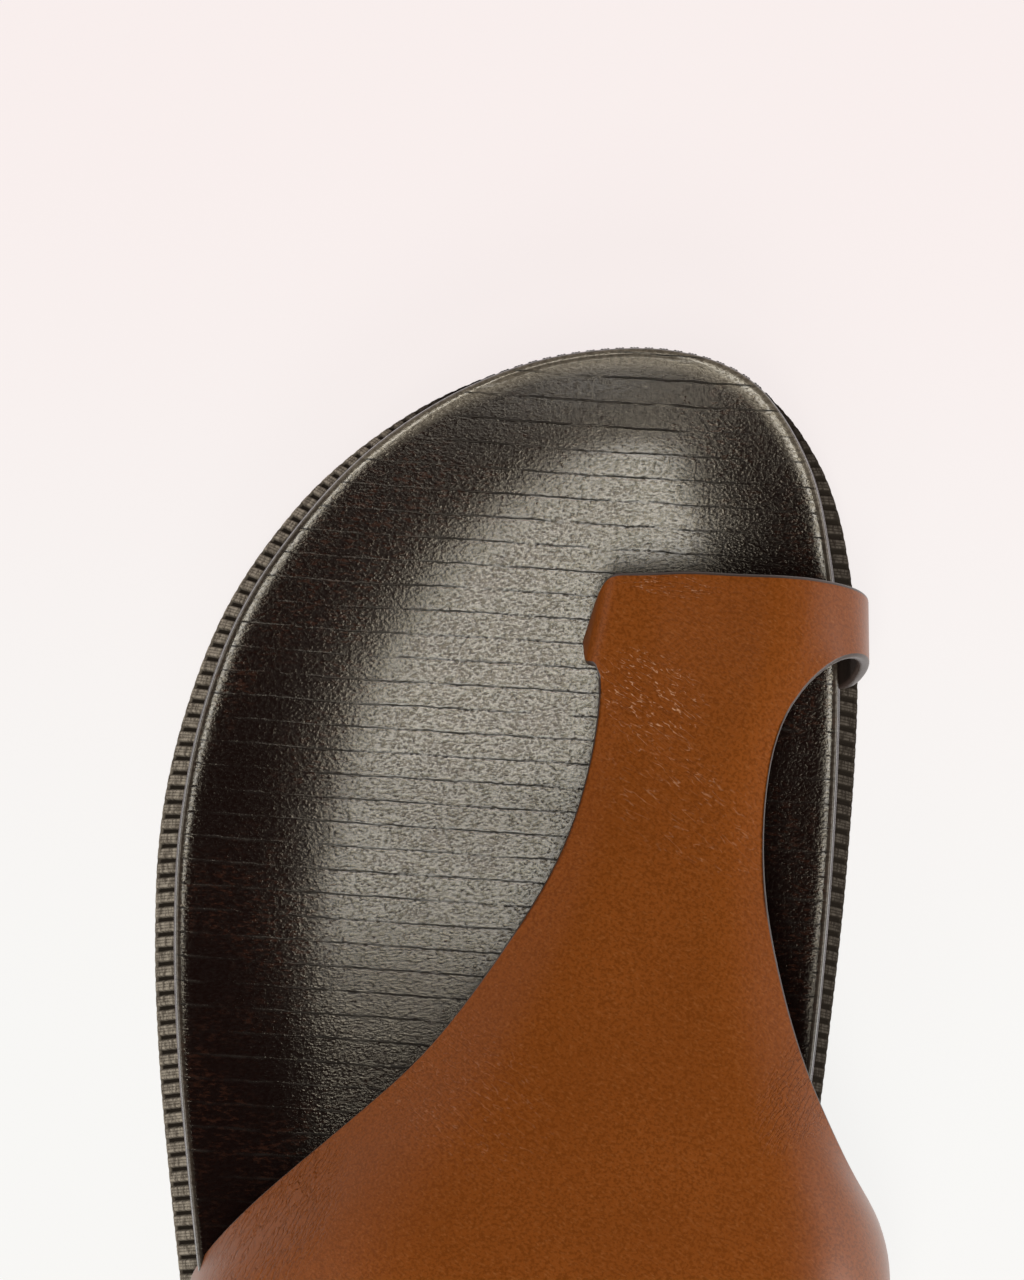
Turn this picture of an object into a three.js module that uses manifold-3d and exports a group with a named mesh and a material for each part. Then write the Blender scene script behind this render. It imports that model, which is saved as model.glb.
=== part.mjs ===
// Toe-loop slide sandal for a left foot: ribbed outsole, moulded footbed, one-piece hollow upper
import * as THREE from "three";
import Module from "manifold-3d";

// Sizes the sandal is worked out from, in millimetres
const LENGTH = 258;
const BALL_WIDTH = 93;
const INSTEP = 60;
const HEEL_HEIGHT = 16;
const TOE_SPRING = 11.5;
const CUP_HEIGHT = 16;
const ARCH_LIFT = 2.2;
const SIDE_FLARE = 3.1;
const WALL = 1.8;
const GAP = 0.3;
const ROOM = 0.36;
const RIB_PITCH = 2.1;
const RIB_DEPTH = 0.5;
const SOLE_BEVEL = 1.0;
const TOP_INSET = 1.2;
const RIM_RADIUS = 2.0;
const BEAD_HEIGHT = 1.35;
const SEAM_RISE = 2.2;
const SEAM_OUTSET = 0.2;
const TAIL_LENGTH = 6;

const RING_POINTS = 104;
const SUBDIVISIONS = 24;
const HALF_COLUMNS = 12;
const SPINE_REACH = 0.72;

// Footbed edge seen from above, toe tip first, then down the outer side: [along, across]
const OUTLINE = [
  [0.5, 0.1548], [0.4932, -0.0165], [0.4702, -0.1694], [0.4345, -0.3017],
  [0.3897, -0.406], [0.3386, -0.4868], [0.2798, -0.5355], [0.2171, -0.5561],
  [0.155, -0.5519], [0.093, -0.5339], [0.0329, -0.508], [-0.0291, -0.4774],
  [-0.093, -0.4441], [-0.155, -0.4161], [-0.2209, -0.3957], [-0.2868, -0.3796],
  [-0.3488, -0.3613], [-0.4109, -0.3204], [-0.4612, -0.2312], [-0.493, -0.0914],
  [-0.4961, 0.0699], [-0.4729, 0.2151], [-0.4264, 0.3118], [-0.3643, 0.3602],
  [-0.2984, 0.372], [-0.2326, 0.3667], [-0.1667, 0.3656], [-0.1008, 0.3785],
  [-0.0349, 0.4011], [0.0291, 0.4262], [0.0911, 0.4427], [0.155, 0.4524],
  [0.2171, 0.4562], [0.2791, 0.4547], [0.3333, 0.4467], [0.3876, 0.4256],
  [0.4416, 0.3806], [0.4847, 0.2878],
];

// Curves down the length: [share of the length from the heel, share of the named size]
const THICKNESS = [
  [0, 1], [0.1, 1], [0.35, 0.97], [0.5, 0.81], [0.65, 0.69],
  [0.75, 0.67], [0.85, 0.61], [0.93, 0.55], [1, 0.47],
];
const SPRING = [[0, 0], [0.65, 0], [0.75, 0.05], [0.85, 0.3], [0.93, 0.61], [1, 1]];
const LIFT = [[0, 0.8], [0.06, 0], [0.3, 0], [0.42, 1], [0.54, 0], [1, 0]];
const OUTER_FLARE = [
  [0, 0.6], [0.15, 0.75], [0.5, 0.97], [0.72, 0.97], [0.8, 0.82],
  [0.9, 0.69], [0.93, 0.51], [0.96, 0.33], [0.985, 0.17], [1, 0.11],
];
const INNER_FLARE = [
  [0, 0.6], [0.15, 0.7], [0.5, 0.6], [0.62, 0.6], [0.72, 0.74], [0.84, 0.91],
  [0.9, 0.84], [0.93, 0.66], [0.96, 0.41], [0.985, 0.14], [1, 0.11],
];
const OUTER_RIM = [
  [0, 0.94], [0.1, 1], [0.25, 0.94], [0.38, 0.88], [0.5, 0.63],
  [0.62, 0.45], [0.8, 0.41], [0.93, 0.38], [1, 0.34],
];
const INNER_RIM = [
  [0, 0.94], [0.1, 1], [0.25, 1], [0.38, 1.06], [0.5, 0.8],
  [0.62, 0.48], [0.8, 0.41], [0.93, 0.38], [1, 0.34],
];
const DEPTH = [
  [0, 0.56], [0.1, 0.62], [0.25, 0.6], [0.38, 0.55], [0.5, 0.36],
  [0.62, 0.23], [0.8, 0.21], [0.93, 0.19], [1, 0.17],
];

// Footbed's outer wall from its underside up:
// [inset as a share of the rim's radius, rise as a share of the bead, share of the rim]
const BED_WALL = [
  [0.45, 0, 0], [0.1, 0.22, 0], [0, 0.56, 0], [0.12, 0.85, 0], [0.4, 1, 0],
  [0.28, 1.56, 0], [0.34, 0, 0.55], [0.56, 0, 0.86], [1, 0, 1],
];
// Footbed's bowl from its rim inwards: [share of the way to the spine, share of the depth]
const BED_BOWL = [
  [0.06, 0.03], [0.12, 0.19], [0.2, 0.41], [0.3, 0.63], [0.42, 0.83], [0.58, 0.96], [0.8, 1],
];

// Upper's sections, back edge first: outer end, crown, inner end.
// An end on the seam is [along, turn, fullness]; a free end is [along, across, rise, turn, fullness].
const SECTIONS = [
  [[-0.174, 95, 0.56], [-0.120, -0.011, 1.076], [-0.221, 116, 0.68]],
  [[-0.145, 95, 0.56], [-0.103, 0.000, 1.055], [-0.182, 118, 0.71]],
  [[-0.116, 94, 0.56], [-0.085, 0.011, 1.031], [-0.141, 121, 0.74]],
  [[-0.087, 94, 0.55], [-0.068, 0.022, 1.007], [-0.101, 123, 0.77]],
  [[-0.057, 91, 0.55], [-0.050, 0.032, 0.983], [-0.060, 125, 0.80]],
  [[-0.028, 86, 0.55], [-0.033, 0.043, 0.957], [-0.019, 128, 0.86]],
  [[-0.016, -0.460, 0.156, 79, 0.55], [-0.014, 0.054, 0.935], [-0.012, 0.499, 0.189, 114, 0.75]],
  [[-0.003, -0.433, 0.266, 71, 0.55], [0.006, 0.065, 0.910], [0.004, 0.550, 0.343, 98, 0.73]],
  [[0.018, -0.380, 0.392, 62, 0.54], [0.027, 0.078, 0.878], [0.026, 0.539, 0.490, 89, 0.70]],
  [[0.043, -0.306, 0.475, 57, 0.53], [0.050, 0.092, 0.844], [0.049, 0.491, 0.585, 79, 0.61]],
  [[0.071, -0.224, 0.535, 52, 0.55], [0.078, 0.108, 0.804], [0.074, 0.454, 0.628, 58, 0.52]],
  [[0.098, -0.149, 0.575, 48, 0.56], [0.105, 0.125, 0.766], [0.099, 0.419, 0.642, 45, 0.55]],
  [[0.132, -0.084, 0.592, 41, 0.54], [0.134, 0.140, 0.728], [0.127, 0.388, 0.638, 38, 0.56]],
  [[0.166, -0.028, 0.592, 34, 0.55], [0.165, 0.156, 0.687], [0.159, 0.361, 0.625, 33, 0.55]],
  [[0.199, 0.022, 0.574, 31, 0.55], [0.196, 0.170, 0.643], [0.190, 0.340, 0.600, 30, 0.55]],
  [[0.232, 0.055, 0.547, 28, 0.55], [0.228, 0.183, 0.599], [0.222, 0.330, 0.564, 28, 0.55]],
  [[0.266, 0.073, 0.506, 27, 0.55], [0.260, 0.198, 0.557], [0.255, 0.330, 0.528, 27, 0.55]],
  [[0.297, 0.080, 0.464, 27, 0.55], [0.291, 0.213, 0.518], [0.285, 0.341, 0.492, 26, 0.55]],
  [[0.316, 0.075, 0.444, 25, 0.55], [0.313, 0.226, 0.493], [0.309, 0.369, 0.462, 26, 0.55]],
  [[0.335, 0.082, 0.436, 20, 0.55], [0.333, 0.234, 0.475], [0.331, 0.376, 0.448, 25, 0.55]],
  [[0.353, 0.088, 0.424, 20, 0.55], [0.352, 0.240, 0.459], [0.353, 0.381, 0.425, 27, 0.55]],
  [[0.368, 0.095, 0.409, 20, 0.55], [0.371, 0.242, 0.440], [0.372, 0.383, 0.397, 30, 0.55]],
];
const SEAM_ROWS = 6;
const LOOP_ROWS = 4;

// Wing's edge under the footbed: [share of its length inwards, share of the seam's rise]
const TAIL = [[0.01, 0.56], [0.08, 0.2], [0.22, 0.02], [0.42, 0], [0.62, 0], [0.82, 0], [1, 0]];

// Loop's tab between the toes and its limb down the inner side: [along, across, rise]
const TAB_BACK = [
  [0.317, 0.068, 0.434], [0.317, 0.062, 0.413], [0.319, 0.060, 0.379], [0.324, 0.058, 0.291],
  [0.329, 0.057, 0.189], [0.333, 0.056, 0.078], [0.335, 0.055, -0.047],
];
const TAB_FRONT = [
  [0.368, 0.086, 0.400], [0.368, 0.080, 0.380], [0.368, 0.076, 0.347], [0.367, 0.075, 0.272],
  [0.367, 0.074, 0.172], [0.367, 0.073, 0.064], [0.367, 0.072, -0.061],
];
const LIMB_BACK = [
  [0.329, 0.424, 0.412], [0.333, 0.464, 0.337], [0.330, 0.479, 0.213], [0.323, 0.469, 0.083],
  [0.320, 0.457, 0.029], [0.319, 0.443, 0.004], [0.317, 0.387, 0.002],
];
const LIMB_FRONT = [
  [0.371, 0.433, 0.337], [0.369, 0.463, 0.251], [0.366, 0.471, 0.156], [0.362, 0.459, 0.071],
  [0.360, 0.447, 0.029], [0.359, 0.434, 0.004], [0.357, 0.378, 0.002],
];
const SIDE_COLUMNS = TAIL.length;
// Rows and columns that meet at less than this sine are treated as meeting at it
const LEAST_SLANT = 0.3;

// A smooth curve through a table that never passes its values
function curve(table, share) {
  const last = table.length - 1;
  const u = Math.min(Math.max(share, table[0][0]), table[last][0]);
  const slope = (i) => (table[i + 1][1] - table[i][1]) / (table[i + 1][0] - table[i][0]);
  const tangent = (i) => {
    if (i === 0) return slope(0);
    if (i === last) return slope(last - 1);
    const before = slope(i - 1);
    const after = slope(i);
    return before * after <= 0 ? 0 : (2 * before * after) / (before + after);
  };
  let k = 0;
  while (k < last - 1 && table[k + 1][0] <= u) k += 1;
  const span = table[k + 1][0] - table[k][0];
  const t = (u - table[k][0]) / span;
  const a = table[k][1] * (1 + 2 * t) * (1 - t) ** 2 + tangent(k) * span * t * (1 - t) ** 2;
  const b = table[k + 1][1] * t * t * (3 - 2 * t) + tangent(k + 1) * span * t * t * (t - 1);
  return a + b;
}

const shareAt = (y) => y / LENGTH + 0.5;
const springAt = (y) => TOE_SPRING * curve(SPRING, shareAt(y));
const seamAt = (y) => HEEL_HEIGHT * curve(THICKNESS, shareAt(y)) + springAt(y);
const groundAt = (y) => springAt(y) + ARCH_LIFT * curve(LIFT, shareAt(y));

// The closed outline as many points, with the distance run at each
function outlineRun() {
  const count = OUTLINE.length;
  const points = [];
  for (let i = 0; i < count; i += 1) {
    const [p0, p1, p2, p3] = [-1, 0, 1, 2].map((k) => OUTLINE[(i + k + count) % count]);
    for (let s = 0; s < SUBDIVISIONS; s += 1) {
      const t = s / SUBDIVISIONS;
      const blend = (a, b, c, d) =>
        0.5 * (2 * b + (c - a) * t + (2 * a - 5 * b + 4 * c - d) * t * t
          + (3 * b - a - 3 * c + d) * t * t * t);
      const along = blend(p0[0], p1[0], p2[0], p3[0]);
      const across = blend(p0[1], p1[1], p2[1], p3[1]);
      points.push(new THREE.Vector2(across * BALL_WIDTH, along * LENGTH));
    }
  }
  points.push(points[0].clone());
  const run = [0];
  for (let i = 1; i < points.length; i += 1) {
    run.push(run[i - 1] + points[i].distanceTo(points[i - 1]));
  }
  return { points, run, total: run[run.length - 1] };
}
const EDGE = outlineRun();

// Point of the outline and its outward normal at a share of the way round
function edgeAt(share) {
  const goal = (((share % 1) + 1) % 1) * EDGE.total;
  let low = 0;
  let high = EDGE.run.length - 1;
  while (high - low > 1) {
    const middle = (low + high) >> 1;
    if (EDGE.run[middle] <= goal) low = middle;
    else high = middle;
  }
  const from = EDGE.points[low];
  const to = EDGE.points[high];
  const point = from.clone().lerp(to, (goal - EDGE.run[low]) / (EDGE.run[high] - EDGE.run[low]));
  const count = EDGE.points.length - 1;
  const before = EDGE.points[(low - 1 + count) % count];
  const after = EDGE.points[(high + 1) % count];
  const ahead = after.clone().sub(before).normalize();
  return { point, normal: new THREE.Vector2(ahead.y, -ahead.x), share };
}

// Where a line across the sandal meets the outline, side -1 outer and +1 inner
function crossing(y, side) {
  let best = null;
  for (let i = 1; i < EDGE.points.length; i += 1) {
    const a = EDGE.points[i - 1];
    const b = EDGE.points[i];
    if ((a.y - y) * (b.y - y) <= 0 && a.y !== b.y) {
      const x = a.x + ((b.x - a.x) * (y - a.y)) / (b.y - a.y);
      if (best === null || x * side > best * side) best = x;
    }
  }
  return best;
}

const middleAt = (y) => (crossing(y, -1) + crossing(y, 1)) / 2;

// Mixes a curve down the outer side into one down the inner side, by the place across
function acrossAt(outerTable, innerTable, x, y) {
  const halfWidth = Math.max((crossing(y, 1) - crossing(y, -1)) / 2, GAP);
  const inner = (1 + Math.min(Math.max((x - middleAt(y)) / halfWidth, -1), 1)) / 2;
  const share = shareAt(y);
  return curve(outerTable, share) * (1 - inner) + curve(innerTable, share) * inner;
}

function ringShares(count) {
  return Array.from({ length: count }, (_, i) => i / count);
}

// A solid being put together from rings of points
class Solid {
  constructor() {
    this.points = [];
    this.faces = [];
  }

  add(x, y, z) {
    this.points.push([x, y, z]);
    return this.points.length - 1;
  }

  face(a, b, c) {
    this.faces.push([a, b, c]);
  }

  quad(a, b, c, d) {
    this.face(a, b, c);
    this.face(a, c, d);
  }

  wall(lower, upper) {
    for (let i = 0; i < lower.length; i += 1) {
      const j = (i + 1) % lower.length;
      this.quad(lower[i], lower[j], upper[j], upper[i]);
    }
  }

  // Joins two rings of different counts that share a start: faces look up when the first is outside
  bridge(outer, outerShares, inner, innerShares) {
    let i = 0;
    let j = 0;
    const outerNext = () => (i + 1 < outer.length ? outerShares[i + 1] : 1);
    const innerNext = () => (j + 1 < inner.length ? innerShares[j + 1] : 1);
    while (i < outer.length || j < inner.length) {
      const a = outer[i % outer.length];
      const b = inner[j % inner.length];
      if (j >= inner.length || (i < outer.length && outerNext() <= innerNext())) {
        this.face(a, outer[(i + 1) % outer.length], b);
        i += 1;
      } else {
        this.face(a, inner[(j + 1) % inner.length], b);
        j += 1;
      }
    }
  }

  // Closes a ring with rungs across it from side to side
  ladder(ring, upward) {
    const y = (k) => this.points[ring[k]][1];
    const order = ring.map((_, k) => k);
    const top = order.reduce((a, b) => (y(b) > y(a) ? b : a));
    const bottom = order.reduce((a, b) => (y(b) < y(a) ? b : a));
    const count = ring.length;
    const left = [top];
    while (left[left.length - 1] !== bottom) left.push((left[left.length - 1] + 1) % count);
    const right = [top];
    while (right[right.length - 1] !== bottom) {
      right.push((right[right.length - 1] - 1 + count) % count);
    }
    let i = 0;
    let j = 0;
    while (i < left.length - 1 || j < right.length - 1) {
      const step = j >= right.length - 1
        || (i < left.length - 1 && y(left[i + 1]) >= y(right[j + 1]));
      const a = ring[left[i]];
      const b = ring[right[j]];
      const c = step ? ring[left[i + 1]] : ring[right[j + 1]];
      if (a !== b && a !== c && b !== c) {
        if (upward) this.face(a, c, b);
        else this.face(a, b, c);
      }
      if (step) i += 1;
      else j += 1;
    }
  }
}

function outsole() {
  const solid = new Solid();
  const ribs = Math.round(EDGE.total / RIB_PITCH);
  const ribShares = ringShares(2 * ribs);
  const smoothShares = ringShares(RING_POINTS);
  const ribDrop = (k) => (k % 2 === 0 ? RIB_DEPTH : 0);
  const ring = (shares, outset, height) => shares.map((share, k) => {
    const { point, normal } = edgeAt(share);
    const out = outset(point, k);
    const x = point.x + normal.x * out;
    const y = point.y + normal.y * out;
    return solid.add(x, y, height(y));
  });
  const flare = ({ x, y }) => SIDE_FLARE * acrossAt(OUTER_FLARE, INNER_FLARE, x, y);
  const top = ring(ribShares, (point, k) => -ribDrop(k), seamAt);
  const foot = ring(ribShares, (point, k) => flare(point) - ribDrop(k),
    (y) => groundAt(y) + SOLE_BEVEL);
  const inside = ring(smoothShares, () => -TOP_INSET, seamAt);
  const tread = ring(smoothShares, (point) => flare(point) - TOP_INSET, groundAt);
  solid.wall(foot, top);
  solid.bridge(top, ribShares, inside, smoothShares);
  solid.ladder(inside, true);
  solid.bridge(tread, smoothShares, foot, ribShares);
  solid.ladder(tread, false);
  return solid;
}

const rimAt = (x, y) => CUP_HEIGHT * acrossAt(OUTER_RIM, INNER_RIM, x, y);

function footbed() {
  const solid = new Solid();
  const edges = ringShares(RING_POINTS).map(edgeAt);
  const rings = BED_WALL.map(([inset, rise, share]) => edges.map(({ point, normal }) => {
    const x = point.x - normal.x * inset * RIM_RADIUS;
    const y = point.y - normal.y * inset * RIM_RADIUS;
    return solid.add(x, y, seamAt(y) + GAP + rise * BEAD_HEIGHT + share * rimAt(x, y));
  }));
  for (const [inwards, share] of BED_BOWL) {
    rings.push(edges.map(({ point }) => {
      const spineY = point.y * SPINE_REACH;
      const x = point.x + (middleAt(spineY) - point.x) * inwards;
      const y = point.y + (spineY - point.y) * inwards;
      const depth = CUP_HEIGHT * curve(DEPTH, shareAt(y)) * share;
      return solid.add(x, y, seamAt(y) + GAP + rimAt(x, y) - depth);
    }));
  }
  for (let i = 1; i < rings.length; i += 1) solid.wall(rings[i - 1], rings[i]);
  solid.ladder(rings[0], false);
  solid.ladder(rings[rings.length - 1], true);
  return solid;
}

const place = ([along, across, rise]) => {
  const y = along * LENGTH;
  return new THREE.Vector3(across * BALL_WIDTH, y, seamAt(y) + rise * INSTEP);
};

// An end of a section with the way it sets off towards the crown
function sectionEnd(entry, side) {
  const onSeam = entry.length === 3;
  const [turn, fullness] = entry.slice(-2);
  let point;
  if (onSeam) {
    const y = entry[0] * LENGTH;
    point = new THREE.Vector3(crossing(y, side) + side * SEAM_OUTSET, y, seamAt(y) + SEAM_RISE);
  } else {
    point = place(entry);
  }
  return { point, turn: (turn * Math.PI) / 180, fullness };
}

function halfArch(end, crown, side) {
  const width = Math.abs(crown.x - end.point.x);
  const height = Math.abs(crown.z - end.point.z);
  const inwards = Math.cos(end.turn);
  const upwards = Math.sin(end.turn);
  const reach = end.fullness * (Math.abs(width * inwards) + Math.abs(height * upwards));
  const first = end.point.clone();
  first.x -= side * inwards * reach;
  first.z += upwards * reach;
  const second = crown.clone();
  second.x += side * width * end.fullness;
  const bezier = new THREE.CubicBezierCurve3(end.point, first, second, crown);
  return bezier.getPoints(HALF_COLUMNS);
}

const mix = (a, b, t) => a.map((value, k) => value + (b[k] - value) * t);

// Points of the upper's middle surface, row by row; a missing point is null
function upperGrid() {
  const firstLoop = SECTIONS.length - LOOP_ROWS;
  return SECTIONS.map((section, row) => {
    const outer = sectionEnd(section[0], -1);
    const inner = sectionEnd(section[2], 1);
    const crown = place(section[1]);
    const left = halfArch(outer, crown, -1);
    const right = halfArch(inner, crown, 1).reverse();
    const main = [...left, ...right.slice(1)];
    const blank = Array(SIDE_COLUMNS).fill(null);
    if (row < SEAM_ROWS) {
      const tail = ({ point }, side) => TAIL.map(([inwards, up]) => {
        const x = point.x - side * inwards * TAIL_LENGTH;
        const z = point.z - (SEAM_RISE - GAP / 2) * (1 - up);
        return new THREE.Vector3(x, point.y, z);
      });
      return [...tail(outer, -1).reverse(), ...main, ...tail(inner, 1)];
    }
    if (row >= firstLoop) {
      const t = (row - firstLoop) / (LOOP_ROWS - 1);
      const tab = TAB_BACK.map((entry, k) => place(mix(entry, TAB_FRONT[k], t)));
      const limb = LIMB_BACK.map((entry, k) => place(mix(entry, LIMB_FRONT[k], t)));
      return [...tab.reverse(), ...main, ...limb];
    }
    return [...blank, ...main, ...blank];
  });
}

// The grid as a closed shell of the given thickness, its edges pushed out by the margin
function shell(thickness, margin) {
  const grid = upperGrid();
  const rows = grid.length;
  const columns = grid[0].length;
  const has = (i, j) => i >= 0 && j >= 0 && i < rows - 1 && j < columns - 1
    && [[i, j], [i + 1, j], [i, j + 1], [i + 1, j + 1]].every(([a, b]) => grid[a][b] !== null);
  const used = (i, j) => has(i, j) || has(i - 1, j) || has(i, j - 1) || has(i - 1, j - 1);
  const direction = (i, j, di, dj) => {
    const forward = di ? has(i, j) || has(i, j - 1) : has(i, j) || has(i - 1, j);
    const backward = di ? has(i - 1, j) || has(i - 1, j - 1) : has(i, j - 1) || has(i - 1, j - 1);
    const ahead = forward ? grid[i + di][j + dj] : grid[i][j];
    const behind = backward ? grid[i - di][j - dj] : grid[i][j];
    return ahead.clone().sub(behind).normalize();
  };
  const solid = new Solid();
  const above = grid.map(() => []);
  const below = grid.map(() => []);
  for (let i = 0; i < rows; i += 1) {
    for (let j = 0; j < columns; j += 1) {
      if (!used(i, j)) continue;
      const forward = direction(i, j, 1, 0);
      const sideways = direction(i, j, 0, 1);
      const normal = sideways.clone().cross(forward);
      const slant = margin / Math.max(normal.length(), LEAST_SLANT);
      normal.normalize();
      const count = (cells) => cells.filter(([a, b]) => has(a, b)).length;
      const front = count([[i, j], [i, j - 1]]);
      const back = count([[i - 1, j], [i - 1, j - 1]]);
      const right = count([[i, j], [i - 1, j]]);
      const left = count([[i, j - 1], [i - 1, j - 1]]);
      const point = grid[i][j].clone()
        .addScaledVector(forward, Math.sign(back - front) * slant)
        .addScaledVector(sideways, Math.sign(left - right) * slant);
      const up = point.clone().addScaledVector(normal, thickness / 2);
      const down = point.clone().addScaledVector(normal, -thickness / 2);
      above[i][j] = solid.add(up.x, up.y, up.z);
      below[i][j] = solid.add(down.x, down.y, down.z);
    }
  }
  const rim = (a, b) => solid.quad(below[a[0]][a[1]], below[b[0]][b[1]],
    above[b[0]][b[1]], above[a[0]][a[1]]);
  for (let i = 0; i < rows - 1; i += 1) {
    for (let j = 0; j < columns - 1; j += 1) {
      if (!has(i, j)) continue;
      const [a, b, c, d] = [[i, j], [i, j + 1], [i + 1, j + 1], [i + 1, j]];
      solid.quad(...[a, b, c, d].map(([r, s]) => above[r][s]));
      solid.quad(...[d, c, b, a].map(([r, s]) => below[r][s]));
      if (!has(i - 1, j)) rim(a, b);
      if (!has(i, j + 1)) rim(b, c);
      if (!has(i + 1, j)) rim(c, d);
      if (!has(i, j - 1)) rim(d, a);
    }
  }
  return solid;
}

const wasm = await Module();
wasm.setup();

function toManifold(solid) {
  return new wasm.Manifold(new wasm.Mesh({
    numProp: 3,
    vertProperties: new Float32Array(solid.points.flat()),
    triVerts: new Uint32Array(solid.faces.flat()),
  }));
}

function toGeometry(manifold) {
  const mesh = manifold.getMesh();
  const geometry = new THREE.BufferGeometry();
  const positions = new Float32Array(mesh.numVert * 3);
  for (let v = 0; v < mesh.numVert; v += 1) {
    for (let k = 0; k < 3; k += 1) {
      positions[v * 3 + k] = mesh.vertProperties[v * mesh.numProp + k];
    }
  }
  geometry.setAttribute("position", new THREE.BufferAttribute(positions, 3));
  geometry.setIndex(new THREE.BufferAttribute(new Uint32Array(mesh.triVerts), 1));
  geometry.computeVertexNormals();
  return geometry;
}

function piece(name, manifold, color, roughness) {
  const material = new THREE.MeshStandardMaterial({ color, roughness, metalness: 0 });
  const mesh = new THREE.Mesh(toGeometry(manifold), material);
  mesh.name = name;
  return mesh;
}

const upper = toManifold(shell(WALL, 0));
const room = toManifold(shell(WALL + 2 * ROOM, ROOM));

const group = new THREE.Group();
group.name = "toe_loop_slide";
group.add(piece("outsole", toManifold(outsole()).subtract(room), 0x2b211f, 0.6));
group.add(piece("footbed", toManifold(footbed()).subtract(room), 0x3a2420, 0.45));
group.add(piece("upper", upper, 0x9a5426, 0.5));

// The origin goes to the middle of the underside
const box = new THREE.Box3().setFromObject(group);
const middle = box.getCenter(new THREE.Vector3());
for (const mesh of group.children) mesh.geometry.translate(-middle.x, -middle.y, -box.min.z);

export default group;
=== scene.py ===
"""A toe-loop slide sandal for a left foot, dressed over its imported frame."""

import math
from bisect import bisect_right

import bmesh
import bpy
from mathutils import Matrix, Vector


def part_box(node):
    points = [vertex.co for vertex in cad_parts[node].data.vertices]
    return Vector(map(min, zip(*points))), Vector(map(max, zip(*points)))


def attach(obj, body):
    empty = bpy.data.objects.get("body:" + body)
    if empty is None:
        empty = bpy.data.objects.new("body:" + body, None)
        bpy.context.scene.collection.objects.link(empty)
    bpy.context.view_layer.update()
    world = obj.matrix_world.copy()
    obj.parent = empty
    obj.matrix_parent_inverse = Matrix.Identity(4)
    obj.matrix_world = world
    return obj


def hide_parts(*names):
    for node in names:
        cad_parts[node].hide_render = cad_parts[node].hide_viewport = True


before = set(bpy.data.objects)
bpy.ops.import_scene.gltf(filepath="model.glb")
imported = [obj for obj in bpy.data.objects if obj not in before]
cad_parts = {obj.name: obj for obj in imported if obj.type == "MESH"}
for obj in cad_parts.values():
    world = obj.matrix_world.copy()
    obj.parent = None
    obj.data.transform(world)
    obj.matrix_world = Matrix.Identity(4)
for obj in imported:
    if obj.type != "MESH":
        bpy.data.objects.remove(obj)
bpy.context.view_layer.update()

MM = 0.001

# Sizes the sandal is worked out from, in millimetres
LENGTH = 258
BALL_WIDTH = 93
INSTEP = 60
HEEL_HEIGHT = 16
TOE_SPRING = 11.5
CUP_HEIGHT = 16
ARCH_LIFT = 2.2
SIDE_FLARE = 3.1
WALL = 1.8
GAP = 0.3
RIB_PITCH = 2.1
RIB_DEPTH = 0.6
SOLE_BEVEL = 1.0
LINE_PITCH = 3.43

# The two sides of a left shoe, as signs of x
OUTER = -1
INNER = 1

# Footbed edge seen from above, toe tip first, then down the outer side: (along, across)
OUTLINE = [
    (0.5, 0.1548), (0.4932, -0.0165), (0.4702, -0.1694), (0.4345, -0.3017),
    (0.3897, -0.406), (0.3386, -0.4868), (0.2798, -0.5355), (0.2171, -0.5561),
    (0.155, -0.5519), (0.093, -0.5339), (0.0329, -0.508), (-0.0291, -0.4774),
    (-0.093, -0.4441), (-0.155, -0.4161), (-0.2209, -0.3957), (-0.2868, -0.3796),
    (-0.3488, -0.3613), (-0.4109, -0.3204), (-0.4612, -0.2312), (-0.493, -0.0914),
    (-0.4961, 0.0699), (-0.4729, 0.2151), (-0.4264, 0.3118), (-0.3643, 0.3602),
    (-0.2984, 0.372), (-0.2326, 0.3667), (-0.1667, 0.3656), (-0.1008, 0.3785),
    (-0.0349, 0.4011), (0.0291, 0.4262), (0.0911, 0.4427), (0.155, 0.4524),
    (0.2171, 0.4562), (0.2791, 0.4547), (0.3333, 0.4467), (0.3876, 0.4256),
    (0.4416, 0.3806), (0.4847, 0.2878),
]
# Share of the way to the heel and toe tips that the spine inside the outline reaches
SPINE_REACH = 0.72

# Curves down the length: (share of the length from the heel, share of the named size)
THICKNESS = [
    (0, 1), (0.1, 1), (0.35, 0.97), (0.5, 0.81), (0.65, 0.69),
    (0.75, 0.67), (0.85, 0.61), (0.93, 0.55), (1, 0.47),
]
SPRING = [(0, 0), (0.65, 0), (0.75, 0.05), (0.85, 0.3), (0.93, 0.61), (1, 1)]
LIFT = [(0, 0.8), (0.06, 0), (0.3, 0), (0.42, 1), (0.54, 0), (1, 0)]
OUTER_FLARE = [
    (0, 0.6), (0.15, 0.75), (0.5, 0.97), (0.72, 0.97), (0.8, 0.82),
    (0.9, 0.69), (0.93, 0.51), (0.96, 0.33), (0.985, 0.17), (1, 0.11),
]
INNER_FLARE = [
    (0, 0.6), (0.15, 0.7), (0.5, 0.6), (0.62, 0.6), (0.72, 0.74), (0.84, 0.91),
    (0.9, 0.84), (0.93, 0.66), (0.96, 0.41), (0.985, 0.14), (1, 0.11),
]
OUTER_RIM = [
    (0, 0.94), (0.1, 1), (0.25, 0.94), (0.38, 0.88), (0.5, 0.63),
    (0.62, 0.45), (0.8, 0.41), (0.93, 0.38), (1, 0.34),
]
INNER_RIM = [
    (0, 0.94), (0.1, 1), (0.25, 1), (0.38, 1.06), (0.5, 0.8),
    (0.62, 0.48), (0.8, 0.41), (0.93, 0.38), (1, 0.34),
]
DEPTH = [
    (0, 0.56), (0.1, 0.62), (0.25, 0.6), (0.38, 0.55), (0.5, 0.36),
    (0.62, 0.23), (0.8, 0.21), (0.93, 0.19), (1, 0.17),
]

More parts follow.
